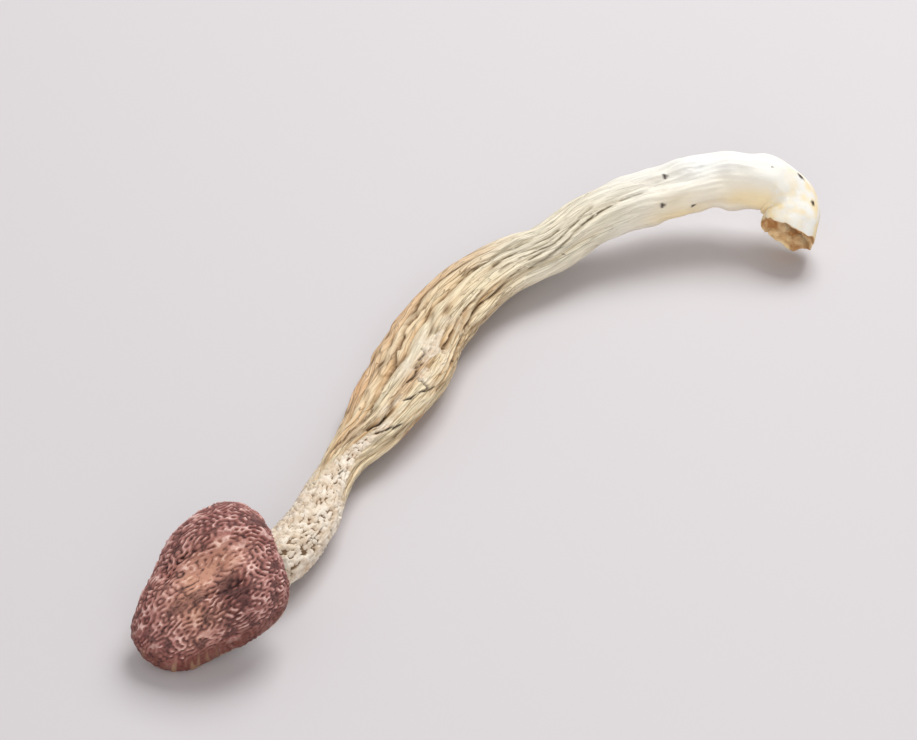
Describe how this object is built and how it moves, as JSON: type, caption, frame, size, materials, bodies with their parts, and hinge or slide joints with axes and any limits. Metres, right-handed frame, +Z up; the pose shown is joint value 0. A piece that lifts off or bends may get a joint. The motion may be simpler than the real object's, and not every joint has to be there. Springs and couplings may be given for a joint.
{
  "type": "dried tea tree mushroom",
  "caption": "Dried tea tree mushroom lying on its side: a wrinkled oval cap with gills beneath, and a long, twisted, furrowed stem that ends in a hooked, cut foot.",
  "frame": {"origin": "centre of the bounding box, at the surface on which the mushroom lies", "axes": "+Z up from the surface, +X along the mushroom from its cap to its foot"},
  "size_m": [0.1344, 0.0353, 0.0153],
  "materials": {
    "cap": "dried, wrinkled, matt",
    "stem": "dried, fibrous, matt"
  },
  "bodies": {
    "root": {"cap": "cap", "stem": "stem"}
  },
  "joints": []
}
